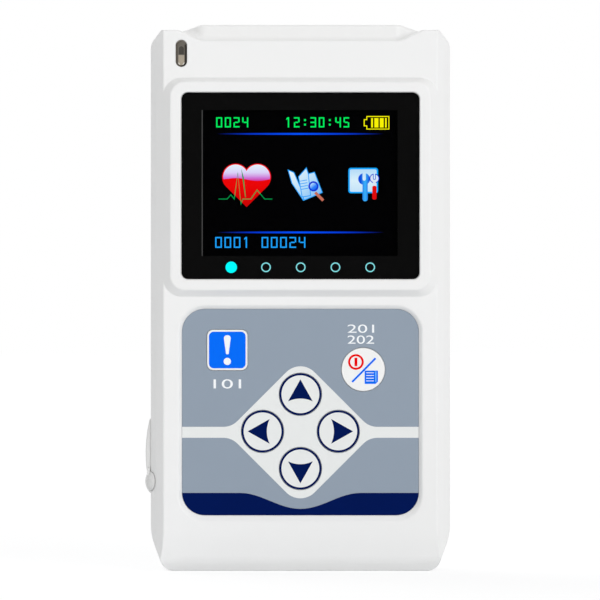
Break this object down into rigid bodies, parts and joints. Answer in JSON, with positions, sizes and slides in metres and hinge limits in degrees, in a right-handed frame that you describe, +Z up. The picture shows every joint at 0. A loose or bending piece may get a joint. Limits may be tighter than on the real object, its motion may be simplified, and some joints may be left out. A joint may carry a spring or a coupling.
{
  "type": "holter monitor",
  "caption": "Hand-sized ambulatory ECG recorder with a display window in a raised bezel, a sealed keypad, a keyed lead socket, a flap over the data port and a rear battery door.",
  "frame": {"origin": "on the flat foot that the recorder stands on, midway across its width and midway between the casing's front face and its back", "axes": "+Z up along the recorder's height from foot to lead socket, -Y out of the display and keys, +X to the right as seen from the front"},
  "size_m": [0.0642, 0.0246, 0.115],
  "materials": {
    "abs_white": "satin",
    "window_black": "gloss",
    "foam_black": "matte",
    "display_glass": "gloss",
    "tray_grey": "matte",
    "polyimide_amber": "satin",
    "housing_black": "matte",
    "film_grey": "satin",
    "key_blue": "satin",
    "key_white": "satin",
    "switch_steel": "satin",
    "board_green": "satin",
    "chip_black": "matte",
    "tinned_steel": "satin",
    "housing_grey": "matte",
    "contact_gold": "polished",
    "lens_smoked": "gloss",
    "led_milky": "gloss",
    "cell_steel": "satin",
    "cell_can": "satin",
    "contact_steel": "satin",
    "screw_steel": "satin"
  },
  "bodies": {
    "casing": {"front_shell": "abs_white", "rear_shell": "abs_white", "display_window": "window_black", "lcd_gasket": "foam_black", "lcd_panel": "display_glass", "lcd_frame": "tray_grey", "lcd_flex": "polyimide_amber", "lcd_connector": "housing_black", "keypad_overlay": "film_grey", "key_switches": "switch_steel", "main_board": "board_green", "board_chips": "chip_black", "signal_board": "board_green", "shield_can": "tinned_steel", "board_link": "housing_black", "lead_socket": "housing_grey", "lead_contacts": "contact_gold", "usb_shell": "tinned_steel", "usb_tongue": "housing_black", "indicator_lens": "lens_smoked", "indicator_led": "led_milky", "buzzer": "housing_black", "clock_cell": "cell_steel", "cell_clip": "switch_steel", "battery_left": "cell_can", "battery_right": "cell_can", "battery_contacts": "contact_steel", "battery_springs": "contact_steel", "case_screws": "screw_steel", "board_screws": "screw_steel"},
    "mark_key": {"mark_key": "key_blue"},
    "menu_key": {"menu_key": "key_white"},
    "up_key": {"up_key": "key_white"},
    "down_key": {"down_key": "key_white"},
    "left_key": {"left_key": "key_white"},
    "right_key": {"right_key": "key_white"},
    "battery_door": {"battery_door": "abs_white"},
    "port_cover": {"port_cover": "abs_white"}
  },
  "joints": [
    {"name": "mark_key_press", "type": "slide", "parent": "casing", "child": "mark_key", "axis": [0, 1, 0], "range_m": [0, 0.0003], "stiffness_N_per_m": 1500},
    {"name": "menu_key_press", "type": "slide", "parent": "casing", "child": "menu_key", "axis": [0, 1, 0], "range_m": [0, 0.0003], "stiffness_N_per_m": 1500},
    {"name": "up_key_press", "type": "slide", "parent": "casing", "child": "up_key", "axis": [0, 1, 0], "range_m": [0, 0.0003], "stiffness_N_per_m": 1500},
    {"name": "down_key_press", "type": "slide", "parent": "casing", "child": "down_key", "axis": [0, 1, 0], "range_m": [0, 0.0003], "stiffness_N_per_m": 1500},
    {"name": "left_key_press", "type": "slide", "parent": "casing", "child": "left_key", "axis": [0, 1, 0], "range_m": [0, 0.0003], "stiffness_N_per_m": 1500},
    {"name": "right_key_press", "type": "slide", "parent": "casing", "child": "right_key", "axis": [0, 1, 0], "range_m": [0, 0.0003], "stiffness_N_per_m": 1500},
    {"name": "battery_door_hinge", "type": "hinge", "parent": "casing", "child": "battery_door", "pos_m": [0, 0.0113, 0.01015], "axis": [-1, 0, 0], "range_deg": [0, 60]},
    {"name": "port_cover_hinge", "type": "hinge", "parent": "casing", "child": "port_cover", "pos_m": [-0.0307, -0.004, 0.03145], "axis": [0, 1, 0], "range_deg": [0, 90]}
  ]
}
